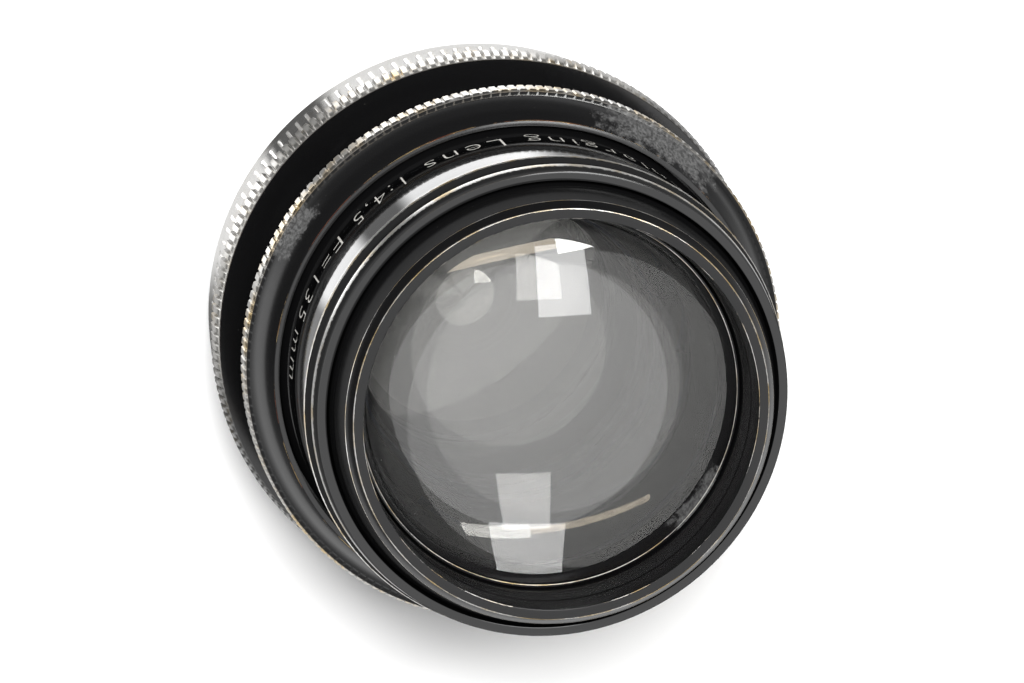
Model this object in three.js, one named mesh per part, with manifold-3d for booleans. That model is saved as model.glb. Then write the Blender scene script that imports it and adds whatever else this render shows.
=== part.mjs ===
// Barrel-mounted enlarging lens, 135 mm f/4.5, four glasses in three groups, with a twelve-blade iris.
// Millimetres, +Z up along the optical axis, front glass up, origin at the centre of the rear rim.
import * as THREE from 'three';
import { mergeVertices } from 'three/addons/utils/BufferGeometryUtils.js';
import Module from 'manifold-3d';

const wasm = await Module();
wasm.setup();

// driving dimensions: stations along the axis
const FRONT_FACE_Z = 45.5;
const NOSE_RISE = 3.3;
const SKIRT_TOP_Z = 31.4;
const RING_TOP_Z = 28.6;
const RING_BOTTOM_Z = 26.4;
const FLANGE_TOP_Z = 17.8;
const FLANGE_BOTTOM_Z = 14.8;
const LOCK_RING_TOP_Z = 14.5;
const LOCK_RING_BOTTOM_Z = 7.1;
const THREAD_END_Z = 1.4;

// driving dimensions: radii
const FRONT_FACE_R = 21;
const NECK_R = 21.4;
const LIP_R = 21.72;
const BARREL_R = 21.9;
const BARREL_BORE_R = 19.9;
const CONTROL_RING_R = 24.85;
const SKIRT_TOP_R = 22.6;
const FLANGE_R = 25.9;
const LOCK_RING_R = 25;
const THREAD_R = 19.5;
const FRONT_GLASS_R = 17;
const REAR_GLASS_R = 13.8;
const GAP = 0.3;

// driving dimensions: iris
const BLADES = 12;
const PIVOT_R = 18.6;
const DRIVE_ANGLE = 22 * Math.PI / 180;
const OPEN_R = 13.1;
const BLADE_OUTER_R = 17.6;
const BLADE_SPAN = 122 * Math.PI / 180;
const BLADE_THICK = 0.12;
const BLADE_PITCH = 0.17;
const STUD_R = 0.42;
const STUD_PLAY = 0.14;
const PLATE_BOTTOM_Z = 21.3;
const PLATE_TOP_Z = 22.5;
const FIRST_BLADE_Z = 22.65;
const CAM_BOTTOM_Z = 24.95;
const CAM_PLATE_TOP_Z = 25.95;
const CAM_TOP_Z = 28.5;
const CAM_R = 19.6;
const RING_TURN = 60 * Math.PI / 180;
const BLADE_TURN = 30 * Math.PI / 180;
const DRIVE_SCREW_AT = 63.75 * Math.PI / 180;
const DRIVE_SCREW_Z = 27.5;
const DRIVE_SCREW_R = 0.7;

// facets
const OUTER_SIDES = 48;
const INNER_SIDES = 32;
const STUD_SIDES = 6;

const finishes = {
  lacquer: new THREE.MeshStandardMaterial({ color: 0x0d0d0e, roughness: 0.25, metalness: 0.2 }),
  matt: new THREE.MeshStandardMaterial({ color: 0x17171a, roughness: 0.7, metalness: 0.1 }),
  nickel: new THREE.MeshStandardMaterial({ color: 0xb9b7b0, roughness: 0.3, metalness: 1 }),
  brass: new THREE.MeshStandardMaterial({ color: 0xb08d4a, roughness: 0.35, metalness: 1 }),
  steel: new THREE.MeshStandardMaterial({ color: 0x3b3d42, roughness: 0.4, metalness: 0.9 }),
  glass: new THREE.MeshStandardMaterial({ color: 0xdfe6e4, roughness: 0.02, metalness: 0 }),
};

const lens = new THREE.Group();

function addPiece(name, geometry, finish, parent = lens) {
  const mesh = new THREE.Mesh(geometry, finishes[finish]);
  mesh.name = name;
  parent.add(mesh);
  return mesh;
}

// A ring turned on the lathe: [radius, z] points around its section, counter-clockwise seen with z up.
function turned(section, sides = INNER_SIDES) {
  const points = section.map(([r, z]) => new THREE.Vector2(r, z));
  if (section[0][0] > 0) points.push(points[0].clone());
  return new THREE.LatheGeometry(points, sides).rotateX(Math.PI / 2);
}

function toSolid(geometry) {
  let plain = geometry.clone();
  plain.deleteAttribute('normal');
  plain.deleteAttribute('uv');
  plain = mergeVertices(plain, 1e-4);
  return new wasm.Manifold(new wasm.Mesh({
    numProp: 3,
    vertProperties: new Float32Array(plain.attributes.position.array),
    triVerts: new Uint32Array(plain.index.array),
  }));
}

function toGeometry(solid) {
  const { vertProperties, triVerts } = solid.getMesh();
  const geometry = new THREE.BufferGeometry();
  geometry.setAttribute('position', new THREE.BufferAttribute(vertProperties, 3));
  geometry.setIndex(new THREE.BufferAttribute(triVerts, 1));
  geometry.computeVertexNormals();
  return geometry;
}

function cutFrom(geometry, tools) {
  return toGeometry(tools.reduce((solid, tool) => solid.subtract(toSolid(tool)), toSolid(geometry)));
}

function joined(geometries) {
  return toGeometry(geometries.map(toSolid).reduce((sum, solid) => sum.add(solid)));
}

// An upright pin standing on z = bottom.
function pin(radius, bottom, top, x, y, sides = STUD_SIDES) {
  const cylinder = new THREE.CylinderGeometry(radius, radius, top - bottom, sides).rotateX(Math.PI / 2);
  return cylinder.translate(x, y, (top + bottom) / 2);
}

// A pin that lies along a radius of the barrel at the given angle and height.
function radialPin(radius, from, to, angle, z, sides = 12) {
  const cylinder = new THREE.CylinderGeometry(radius, radius, to - from, sides).rotateZ(Math.PI / 2);
  return cylinder.translate((from + to) / 2, 0, 0).rotateZ(angle).translate(0, 0, z);
}

// The part of a sphere of the given radius between the axis and r, as [r, z] points. A positive
// radius bulges towards +Z from the vertex.
function glassFace(radius, vertexZ, edgeR, steps = 3) {
  const points = [];
  for (let i = 0; i <= steps; i += 1) {
    const r = edgeR * i / steps;
    const sag = Math.abs(radius) - Math.sqrt(radius * radius - r * r);
    points.push([r, vertexZ - Math.sign(radius) * sag]);
  }
  return points;
}

function glassBody(rearRadius, rearZ, frontRadius, frontZ, edgeR) {
  const rear = glassFace(rearRadius, rearZ, edgeR);
  const front = glassFace(frontRadius, frontZ, edgeR).reverse();
  return turned([...rear, ...front]);
}

function polar(r, angle) {
  return new THREE.Vector2(r * Math.cos(angle), r * Math.sin(angle));
}

function arc(r, from, to, steps) {
  return Array.from({ length: steps + 1 }, (_, i) => polar(r, from + (to - from) * i / steps));
}

function plate(outline, bottom, thick) {
  const shape = new THREE.Shape(outline);
  return new THREE.ExtrudeGeometry(shape, { depth: thick, bevelEnabled: false }).translate(0, 0, bottom);
}

// ---- barrel, the fixed body that everything else is fitted to
const slotTop = DRIVE_SCREW_Z + DRIVE_SCREW_R + 0.2;
const slotBottom = DRIVE_SCREW_Z - DRIVE_SCREW_R - 0.2;
const slotEnd = 0.06;
const driveSlot = plate([
  ...arc(BARREL_BORE_R - 1, DRIVE_SCREW_AT - slotEnd, DRIVE_SCREW_AT + RING_TURN + slotEnd, 12),
  ...arc(BARREL_R + 1, DRIVE_SCREW_AT + RING_TURN + slotEnd, DRIVE_SCREW_AT - slotEnd, 12),
], slotBottom, slotTop - slotBottom);

const PLATE_SCREWS = 3;
const PLATE_SCREW_Z = (PLATE_BOTTOM_Z + PLATE_TOP_Z) / 2;
const plateScrewAngles = Array.from({ length: PLATE_SCREWS }, (_, i) => (i * 120 + 30) * Math.PI / 180);

addPiece('main_barrel', cutFrom(turned([
  [17.2, THREAD_END_Z],
  [THREAD_R, THREAD_END_Z],
  [THREAD_R, 16.6],
  [BARREL_R, 16.6],
  [BARREL_R, 24.4],
  [22.9, 24.6],
  [22.9, 26.1],
  [BARREL_R, 26.1],
  [BARREL_R, 30.6],
  [21.1, 31.9],
  [20.9, 31.9],
  [20.9, 28.9],
  [BARREL_BORE_R, 28.9],
  [BARREL_BORE_R, 21.1],
  [17.2, 21.1],
], OUTER_SIDES), [
  driveSlot,
  ...plateScrewAngles.map((angle) => radialPin(0.8, 19, 23, angle, PLATE_SCREW_Z)),
]), 'lacquer');

plateScrewAngles.forEach((angle, i) => {
  const screw = radialPin(0.6, 19.15, 21.7, angle, PLATE_SCREW_Z);
  addPiece(`iris_plate_screw_${i + 1}`, screw, 'steel');
});

addPiece('front_barrel', turned([
  [19.2, 29.1],
  [20.6, 29.1],
  [20.6, 32.2],
  [NECK_R - 0.3, 32.2],
  [NECK_R, 32.5],
  [NECK_R, 41.9],
  [LIP_R, 42.0],
  [LIP_R, 42.4],
  [21.1, 42.7],
  [21.1, 43.3],
  [21.3, 43.7],
  [FRONT_FACE_R, FRONT_FACE_Z],
  [20.2, FRONT_FACE_Z],
  [20.2, 42.6],
  [19.2, 42.6],
], OUTER_SIDES), 'lacquer');

// ---- front cell: one tube for the first two glasses, with a shoulder between them
const NOSE_Z = FRONT_FACE_Z + NOSE_RISE;
addPiece('front_cell', turned([
  [17.2, 30.2],
  [18.9, 30.2],
  [18.9, 42.9],
  [19.95, 42.9],
  [19.95, FRONT_FACE_Z],
  [19.05, NOSE_Z - 0.7],
  [18.45, NOSE_Z],
  [17.55, NOSE_Z],
  [17.3, 39.2],
  [15.4, 39.2],
  [15.4, 37.5],
  [17.2, 37.5],
], OUTER_SIDES), 'lacquer');

addPiece('front_element', glassBody(-400, 39.3, 42, 45.3, FRONT_GLASS_R), 'glass');

addPiece('front_retaining_ring', turned([
  [16.3, 42.15],
  [17.15, 42.0],
  [17.15, 43.5],
  [16.9, 43.5],
], INNER_SIDES), 'lacquer');

const SECOND_GLASS_R = 16;
addPiece('second_element', glassBody(36, 33.6, -70, 35.6, SECOND_GLASS_R), 'glass');

addPiece('second_retaining_ring', turned([
  [14.2, 28.9],
  [17.0, 28.9],
  [17.0, 29.7],
  [15.6, 29.7],
  [14.2, 29.3],
]), 'matt');

// ---- iris: base plate with pivot holes, twelve blades, cam ring with one slot for each blade
const pivots = Array.from({ length: BLADES }, (_, i) => 2 * Math.PI * i / BLADES);

const pivotHoles = pivots.map((angle) => {
  const at = polar(PIVOT_R, angle);
  return pin(STUD_R + STUD_PLAY, PLATE_BOTTOM_Z - 1, PLATE_TOP_Z + 1, at.x, at.y);
});
addPiece('iris_base_plate', cutFrom(turned([
  [OPEN_R, PLATE_BOTTOM_Z],
  [19.7, PLATE_BOTTOM_Z],
  [19.7, PLATE_TOP_Z],
  [OPEN_R, PLATE_TOP_Z],
]), [
  ...pivotHoles,
  ...plateScrewAngles.map((angle) => radialPin(0.8, 18.9, 23, angle, PLATE_SCREW_Z)),
]), 'matt');

// Where a blade's drive stud is, in the turning ring's own frame, when the ring has turned by share
// of its travel: the blade turns in step, at half the ring's angle.
function driveStudInRing(share) {
  const pivot = polar(PIVOT_R, 0);
  const stud = polar(PIVOT_R, DRIVE_ANGLE).rotateAround(pivot, share * BLADE_TURN);
  return stud.rotateAround(new THREE.Vector2(0, 0), -share * RING_TURN);
}

function camSlot() {
  const steps = 10;
  const half = STUD_R + STUD_PLAY;
  const centres = Array.from({ length: steps + 1 }, (_, i) => driveStudInRing(i / steps));
  const sides = [[], []];
  centres.forEach((centre, i) => {
    const before = centres[Math.max(i - 1, 0)];
    const after = centres[Math.min(i + 1, steps)];
    const along = after.clone().sub(before).normalize();
    const across = new THREE.Vector2(-along.y, along.x).multiplyScalar(half);
    const past = along.multiplyScalar(i === 0 ? -half : (i === steps ? half : 0));
    sides[0].push(centre.clone().add(past).add(across));
    sides[1].push(centre.clone().add(past).sub(across));
  });
  return plate([...sides[0], ...sides[1].reverse()], CAM_BOTTOM_Z - 1, 3);
}

const camSlots = pivots.map((angle) => camSlot().rotateZ(angle));
addPiece('iris_cam_ring', cutFrom(turned([
  [13.3, CAM_BOTTOM_Z],
  [CAM_R, CAM_BOTTOM_Z],
  [CAM_R, CAM_TOP_Z],
  [18.6, CAM_TOP_Z],
  [18.6, CAM_PLATE_TOP_Z],
  [13.3, CAM_PLATE_TOP_Z],
], OUTER_SIDES), [
  ...camSlots,
  radialPin(DRIVE_SCREW_R + GAP, 18, 20, DRIVE_SCREW_AT, DRIVE_SCREW_Z),
]), 'matt');

// One blade lies along +X at its pivot and reaches counter-clockwise: an ear with both studs
// outside the crescent, which is trimmed at its head so that it clears the next blade's stud.
function bladeGeometry(level) {
  const bottom = FIRST_BLADE_Z + level * BLADE_PITCH;
  const top = bottom + BLADE_THICK;
  const earR = PIVOT_R + STUD_R + 0.35;
  const outline = [
    ...arc(earR, -0.05, DRIVE_ANGLE + 0.05, 4),
    ...arc(BLADE_OUTER_R, DRIVE_ANGLE + 0.1, BLADE_SPAN, 10),
    ...arc(OPEN_R, BLADE_SPAN + 0.05, DRIVE_ANGLE + 0.12, 10),
    polar(15.4, 0.16),
    polar(17.5, -0.04),
  ];
  const pivot = polar(PIVOT_R, 0);
  const drive = polar(PIVOT_R, DRIVE_ANGLE);
  return joined([
    plate(outline, bottom, BLADE_THICK),
    pin(STUD_R, PLATE_BOTTOM_Z + 0.2, bottom + BLADE_THICK / 2, pivot.x, pivot.y),
    pin(STUD_R, top - BLADE_THICK / 2, CAM_PLATE_TOP_Z - 0.1, drive.x, drive.y),
  ]);
}

pivots.forEach((angle, i) => {
  const blade = addPiece(`iris_blade_${i + 1}`, bladeGeometry(BLADES - 1 - i), 'steel');
  blade.rotation.z = angle;
});

// ---- iris control ring with its skirt, and the screw that drives the cam ring
addPiece('iris_control_ring', cutFrom(turned([
  [22.1, RING_BOTTOM_Z],
  [CONTROL_RING_R - 0.25, RING_BOTTOM_Z],
  [CONTROL_RING_R, RING_BOTTOM_Z + 0.25],
  [CONTROL_RING_R, RING_TOP_Z - 0.3],
  [CONTROL_RING_R - 0.3, RING_TOP_Z],
  [SKIRT_TOP_R, SKIRT_TOP_Z],
  [22.1, SKIRT_TOP_Z],
], OUTER_SIDES), [
  radialPin(1.1, 21, 26, DRIVE_SCREW_AT, DRIVE_SCREW_Z),
]), 'lacquer');

addPiece('drive_screw', radialPin(DRIVE_SCREW_R, 18.9, 24.4, DRIVE_SCREW_AT, DRIVE_SCREW_Z), 'steel');

// ---- rear cell with the cemented pair
addPiece('rear_cell', turned([
  [14.1, 0],
  [15.6, 0],
  [16.2, 0.6],
  [16.9, 0.6],
  [16.9, 20.4],
  [12.9, 20.4],
  [12.9, 14.7],
  [14.1, 14.7],
], OUTER_SIDES), 'matt');

const CEMENT_Z = 11.4;
const CEMENT_R = 34;
const CEMENT_GAP = 0.04;
addPiece('rear_pair_front_glass', glassBody(CEMENT_R, CEMENT_Z + CEMENT_GAP, -110, 13.2, REAR_GLASS_R), 'glass');
addPiece('rear_pair_back_glass', glassBody(-52, 4.2, CEMENT_R, CEMENT_Z, REAR_GLASS_R), 'glass');

addPiece('rear_retaining_ring', turned([
  [12.6, 4.4],
  [14.0, 4.4],
  [14.0, 5.9],
  [13.7, 5.9],
]), 'matt');

// ---- mounting flange and the ring that locks it to a lens board
addPiece('mounting_flange', turned([
  [19.8, FLANGE_BOTTOM_Z],
  [FLANGE_R - 0.3, FLANGE_BOTTOM_Z],
  [FLANGE_R, FLANGE_BOTTOM_Z + 0.3],
  [FLANGE_R, FLANGE_TOP_Z - 1.4],
  [25.5, FLANGE_TOP_Z],
  [22.2, FLANGE_TOP_Z],
  [22.2, 16.3],
  [19.8, 16.3],
], OUTER_SIDES), 'lacquer');

addPiece('lock_ring', turned([
  [19.8, LOCK_RING_BOTTOM_Z + 1.2],
  [21.8, LOCK_RING_BOTTOM_Z + 1.2],
  [21.8, 11.9],
  [23.2, 11.9],
  [23.2, LOCK_RING_BOTTOM_Z],
  [LOCK_RING_R - 0.3, LOCK_RING_BOTTOM_Z],
  [LOCK_RING_R, LOCK_RING_BOTTOM_Z + 0.3],
  [LOCK_RING_R, LOCK_RING_TOP_Z - 0.3],
  [LOCK_RING_R - 0.3, LOCK_RING_TOP_Z],
  [19.8, LOCK_RING_TOP_Z],
], OUTER_SIDES), 'nickel');

export default lens;
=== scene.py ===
"""Enlarging lens in a barrel mount: its fine surfaces, finishes, stage, lights and camera."""
import math

import bmesh
import bpy
from mathutils import Matrix, Vector


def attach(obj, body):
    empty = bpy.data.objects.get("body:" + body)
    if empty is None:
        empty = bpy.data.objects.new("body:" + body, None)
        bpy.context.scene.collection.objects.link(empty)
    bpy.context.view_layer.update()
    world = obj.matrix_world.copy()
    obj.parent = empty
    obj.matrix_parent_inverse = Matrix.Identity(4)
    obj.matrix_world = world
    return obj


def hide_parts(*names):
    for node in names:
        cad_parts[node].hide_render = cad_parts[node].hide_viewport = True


bl_info = {
    "name": "Barrel enlarging lens",
    "version": (1, 0, 0),
    "blender": (4, 5, 0),
    "location": "3D View > Sidebar > Lens",
    "description": "Builds the fine surfaces of a lacquered brass enlarging lens",
    "category": "Add Mesh",
}

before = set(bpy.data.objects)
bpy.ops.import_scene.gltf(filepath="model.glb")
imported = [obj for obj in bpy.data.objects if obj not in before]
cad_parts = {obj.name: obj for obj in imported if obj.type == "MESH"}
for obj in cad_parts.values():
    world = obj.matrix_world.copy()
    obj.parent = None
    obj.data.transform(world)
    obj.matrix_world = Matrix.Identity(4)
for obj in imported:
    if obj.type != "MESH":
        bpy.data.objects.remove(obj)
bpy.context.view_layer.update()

MM = 0.001
FULL_TURN = 2 * math.pi
ORIGIN = Vector((0, 0, 0))
Z_AXIS = Vector((0, 0, 1))

# stations along the axis and radii, in millimetres
FRONT_FACE_Z = 45.5
NOSE_Z = 48.8
RING_TOP_Z = 28.6
RING_BOTTOM_Z = 26.4
FLANGE_TOP_Z = 17.8
FLANGE_BOTTOM_Z = 14.8
LOCK_TOP_Z = 14.5
LOCK_BOTTOM_Z = 7.1
NECK_R = 21.4
LIP_R = 21.72
BARREL_R = 21.9
RING_R = 24.85
FLANGE_R = 25.9
LOCK_R = 25.0
THREAD_R = 19.5
DRIVE_SCREW_TURN = 63.75
DRIVE_SCREW_Z = 27.5
PLATE_SCREW_Z = 21.9
SMALL_BEVEL = 0.03
# points closer than this are one point
JOIN = 1e-5
# foot of the neck lettering, and how far its paint stands off the metal
NECK_FOOT_Z = 32.75
PAINT_PROUD = 0.012

# facets round the axis
GLASS_SIDES = 128
RING_SIDES = 256
BARREL_SIDES = 192
SCREW_SIDES = 40


# ---------------------------------------------------------------- mesh tools

def spin_outline(bm, sides):
    """Turns the outline in a bmesh round the axis, closes it and points its faces outwards."""
    bmesh.ops.spin(
        bm, geom=bm.verts[:] + bm.edges[:], cent=ORIGIN, axis=Z_AXIS, angle=FULL_TURN,
        steps=sides, use_merge=True, use_duplicate=False,
    )
    bmesh.ops.remove_doubles(bm, verts=bm.verts, dist=JOIN)
    bmesh.ops.recalc_face_normals(bm, faces=bm.faces)


def spun(section, sides, bevel=0.0, segments=2):
    """A ring turned from a closed [radius, z] section in millimetres, its corners rounded first."""
    bm = bmesh.new()
    corners = [bm.verts.new((r, 0, z)) for r, z in section]
    bm.faces.new(corners)
    if bevel:
        bmesh.ops.bevel(
            bm, geom=corners, offset=bevel, offset_type="OFFSET", segments=segments,
            profile=0.5, affect="VERTICES", clamp_overlap=True, material=-1,
        )
    bmesh.ops.delete(bm, geom=bm.faces[:], context="FACES_ONLY")
    spin_outline(bm, sides)
    return bm


def spun_solid(section, sides=GLASS_SIDES):
    """A solid turned from an open [radius, z] outline that starts and ends on the axis."""
    bm = bmesh.new()
    points = [bm.verts.new((r, 0, z)) for r, z in section]
    for a, b in zip(points, points[1:]):
        bm.edges.new((a, b))
    spin_outline(bm, sides)
    return bm


def cut_teeth(bm, count, root_r, low_z, high_z, crest, slope):
    """Presses straight grooves into the rim of a ring that was spun with four columns a tooth.
    crest and slope are the shares of the pitch taken by a tooth's top and by each of its sides."""
    columns = 4 * count
    play = 1e-4
    stations = (-crest / 2, crest / 2, crest / 2 + slope, 1 - crest / 2 - slope)
    for v in bm.verts:
        r = math.hypot(v.co.x, v.co.y)
        if not low_z - play <= v.co.z <= high_z + play or r < root_r + play:
            continue
        angle = math.atan2(v.co.y, v.co.x)
        column = round(angle / FULL_TURN * columns) % 4
        if column in (2, 3):
            v.co.x *= root_r / r
            v.co.y *= root_r / r
        lean = (stations[column] - column / 4) * FULL_TURN / count
        v.co.rotate(Matrix.Rotation(lean, 3, "Z"))


def new_mesh(name, bm):
    """A mesh in metres from a millimetre bmesh, which is used up."""
    bmesh.ops.scale(bm, vec=(MM, MM, MM), verts=bm.verts)
    mesh = bpy.data.meshes.new(name)
    bm.to_mesh(mesh)
    bm.free()
    return mesh


def place_object(name, data):
    """A new object at the origin of the scene."""
    obj = bpy.data.objects.new(name, data)
    bpy.context.scene.collection.objects.link(obj)
    return obj


def piece(name, bm, materials, body, node=None, smooth_angle=35):
    """Turns a millimetre bmesh into a finished piece that rides on its body."""
    mesh = new_mesh(name, bm)
    for material in materials:
        mesh.materials.append(material)
    mesh.shade_smooth()
    mesh.set_sharp_from_angle(angle=math.radians(smooth_angle))
    obj = place_object(name, mesh)
    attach(obj, body)
    if node:
        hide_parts(node)
    return obj


def drill(obj, angle, height, radius, start, end):
    """Bores a radial hole through a finished piece, from one distance off the axis to another."""
    bm = bmesh.new()
    bmesh.ops.create_cone(
        bm, cap_ends=True, segments=SCREW_SIDES, radius1=radius, radius2=radius, depth=end - start)
    bmesh.ops.translate(bm, vec=(0, 0, (start + end) / 2), verts=bm.verts)
    bmesh.ops.transform(bm, matrix=radial(angle, height), verts=bm.verts)
    cutter = place_object("drill", new_mesh("drill", bm))
    cut = obj.modifiers.new("hole", "BOOLEAN")
    cut.operation = "DIFFERENCE"
    cut.solver = "EXACT"
    cut.object = cutter
    bpy.context.view_layer.update()
    depsgraph = bpy.context.evaluated_depsgraph_get()
    bored = bpy.data.meshes.new_from_object(obj.evaluated_get(depsgraph))
    obj.modifiers.clear()
    obj.data = bored
    bpy.data.objects.remove(cutter)


def radial(angle, height):
    """Lays a part made along +Z out from the axis, at an azimuth in degrees and a height."""
    turn = Matrix.Rotation(math.radians(angle), 4, "Z") @ Matrix.Rotation(math.pi / 2, 4, "Y")
    return Matrix.Translation((0, 0, height)) @ turn


def glass_face(radius, vertex_z, edge_r, steps=14):
    """Points of a sphere's cap from the axis outwards; a positive radius bulges towards +Z."""
    points = []
    for i in range(steps + 1):
        r = edge_r * i / steps
        sag = abs(radius) - math.sqrt(radius * radius - r * r)
        points.append((r, vertex_z - math.copysign(sag, radius)))
    return points


# ---------------------------------------------------------------- material tools

class Nodes:
    """Short calls for the node tree of one material or group."""

    def __init__(self, tree):
        self.tree = tree

    def add(self, kind, **values):
        """A new node, with some of its settings."""
        node = self.tree.nodes.new(kind)
        for key, value in values.items():
            setattr(node, key, value)
        return node

    def link(self, source, target):
        self.tree.links.new(source, target)

    def put(self, socket, value):
        """Links a socket to the input, or sets the input to a plain value."""
        if isinstance(value, bpy.types.NodeSocket):
            self.link(value, socket)
        else:
            socket.default_value = value

    def math(self, operation, a, b=0.0):
        node = self.add("ShaderNodeMath", operation=operation)
        self.put(node.inputs[0], a)
        self.put(node.inputs[1], b)
        return node.outputs[0]

    def mix(self, factor, a, b):
        """A colour between a and b."""
        node = self.add("ShaderNodeMix", data_type="RGBA")
        self.put(node.inputs[0], factor)
        self.put(node.inputs[6], a)
        self.put(node.inputs[7], b)
        return node.outputs[2]

    def blend(self, factor, a, b):
        """A value between a and b."""
        node = self.add("ShaderNodeMix", data_type="FLOAT")
        self.put(node.inputs[0], factor)
        self.put(node.inputs[2], a)
        self.put(node.inputs[3], b)
        return node.outputs[0]

    def ramp(self, value, low, high):
        """A soft step from 0 at low to 1 at high; low may be the larger."""
        node = self.add("ShaderNodeMapRange", interpolation_type="SMOOTHSTEP")
        self.put(node.inputs["Value"], value)
        self.put(node.inputs["From Min"], low)
        self.put(node.inputs["From Max"], high)
        return node.outputs[0]

    def noise(self, vector, scale, detail=3.0, roughness=0.55):
        node = self.add("ShaderNodeTexNoise")
        self.put(node.inputs["Vector"], vector)
        self.put(node.inputs["Scale"], scale)
        self.put(node.inputs["Detail"], detail)
        self.put(node.inputs["Roughness"], roughness)
        return node.outputs[0]

    def group(self, name, **values):
        """One of the shared effects, with its own values."""
        node = self.add("ShaderNodeGroup", node_tree=bpy.data.node_groups[name])
        for key, value in values.items():
            self.put(node.inputs[key.replace("_", " ")], value)
        return node


def metres_to_mm(n, coords):
    """The object's own coordinates, in millimetres."""
    scale = n.add("ShaderNodeVectorMath", operation="SCALE")
    n.link(coords.outputs["Object"], scale.inputs[0])
    scale.inputs["Scale"].default_value = 1 / MM
    return scale.outputs[0]


def parts_of(n, place):
    """The x, y and z of a place."""
    split = n.add("ShaderNodeSeparateXYZ")
    n.link(place, split.inputs[0])
    return split.outputs


def radius_of(n, place):
    """The distance from the optical axis, in millimetres."""
    flat = n.add("ShaderNodeVectorMath", operation="MULTIPLY")
    n.link(place, flat.inputs[0])
    flat.inputs[1].default_value = (1, 1, 0)
    length = n.add("ShaderNodeVectorMath", operation="LENGTH")
    n.link(flat.outputs[0], length.inputs[0])
    return length.outputs["Value"]


def azimuth_of(n, place):
    """The azimuth round the optical axis, in degrees from -180 to 180."""
    split = parts_of(n, place)
    return n.math("MULTIPLY", n.math("ARCTAN2", split[1], split[0]), math.degrees(1))


def new_group(name, inputs, outputs):
    """A node group with its sockets; inputs are (name, type, default)."""
    tree = bpy.data.node_groups.new(name, "ShaderNodeTree")
    for label, kind, default in inputs:
        socket = tree.interface.new_socket(label, in_out="INPUT", socket_type=kind)
        if default is not None:
            socket.default_value = default
    for label, kind in outputs:
        tree.interface.new_socket(label, in_out="OUTPUT", socket_type=kind)
    nodes = Nodes(tree)
    return nodes, nodes.add("NodeGroupInput"), nodes.add("NodeGroupOutput")


def make_edge_wear():
    """Worn metal along a turned edge, given by its radius and height in millimetres."""
    n, inp, out = new_group("Edge wear", [
        ("Place", "NodeSocketVector", None),
        ("Radius", "NodeSocketFloat", 20.0),
        ("Height", "NodeSocketFloat", 0.0),
        ("Width", "NodeSocketFloat", 0.15),
        ("Amount", "NodeSocketFloat", 0.5),
    ], [("Mask", "NodeSocketFloat")])
    place = inp.outputs["Place"]
    off_r = n.math("SUBTRACT", radius_of(n, place), inp.outputs["Radius"])
    off_z = n.math("SUBTRACT", parts_of(n, place)[2], inp.outputs["Height"])
    away = n.math("SQRT", n.math("ADD", n.math("POWER", off_r, 2.0), n.math("POWER", off_z, 2.0)))
    broad = n.noise(place, 0.16, 2.0)
    fine = n.noise(place, 2.6, 4.0, 0.65)
    spread = n.ramp(n.math("ADD", broad, n.math("MULTIPLY", inp.outputs["Amount"], 0.5)), 0.42, 0.95)
    reach = n.math("MULTIPLY", inp.outputs["Width"], n.math("ADD", n.math("MULTIPLY", spread, 1.6), 0.35))
    reach = n.math("MULTIPLY", reach, n.math("ADD", n.math("MULTIPLY", fine, 1.3), 0.35))
    n.link(n.ramp(n.math("DIVIDE", away, reach), 1.0, 0.75), out.inputs["Mask"])


def make_dust():
    """Fine specks scattered over a surface."""
    n, inp, out = new_group("Dust", [
        ("Place", "NodeSocketVector", None),
        ("Scale", "NodeSocketFloat", 1.0),
        ("Size", "NodeSocketFloat", 0.05),
        ("Amount", "NodeSocketFloat", 0.3),
    ], [("Mask", "NodeSocketFloat")])
    cells = n.add("ShaderNodeTexVoronoi")
    n.link(inp.outputs["Place"], cells.inputs["Vector"])
    n.link(inp.outputs["Scale"], cells.inputs["Scale"])
    chance = n.add("ShaderNodeSeparateColor")
    n.link(cells.outputs["Color"], chance.inputs[0])
    chosen = n.math("LESS_THAN", chance.outputs[0], inp.outputs["Amount"])
    dot = n.ramp(cells.outputs["Distance"], inp.outputs["Size"], n.math("MULTIPLY", inp.outputs["Size"], 0.5))
    n.link(n.math("MULTIPLY", chosen, dot), out.inputs["Mask"])


def make_patch():
    """A scuffed patch between two radii, round one azimuth in degrees, with a ragged outline."""
    n, inp, out = new_group("Scuffed patch", [
        ("Place", "NodeSocketVector", None),
        ("Turn", "NodeSocketFloat", 0.0),
        ("Spread", "NodeSocketFloat", 6.0),
        ("Inner", "NodeSocketFloat", 22.0),
        ("Outer", "NodeSocketFloat", 25.0),
    ], [("Mask", "NodeSocketFloat")])
    place = inp.outputs["Place"]
    off = n.math("ABSOLUTE", n.math("SUBTRACT", azimuth_of(n, place), inp.outputs["Turn"]))
    ragged = n.math("MULTIPLY", n.math("SUBTRACT", n.noise(place, 0.9, 5.0, 0.65), 0.5), 1.6)
    along = n.math("SUBTRACT", 1.0, n.math("DIVIDE", off, inp.outputs["Spread"]))
    half = n.math("MULTIPLY", n.math("SUBTRACT", inp.outputs["Outer"], inp.outputs["Inner"]), 0.5)
    middle = n.math("ADD", inp.outputs["Inner"], half)
    off_r = n.math("ABSOLUTE", n.math("SUBTRACT", radius_of(n, place), middle))
    across = n.math("SUBTRACT", 1.0, n.math("DIVIDE", off_r, half))
    inside = n.math("ADD", n.math("MINIMUM", along, across), ragged)
    n.link(n.ramp(inside, 0.1, 0.5), out.inputs["Mask"])


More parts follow.
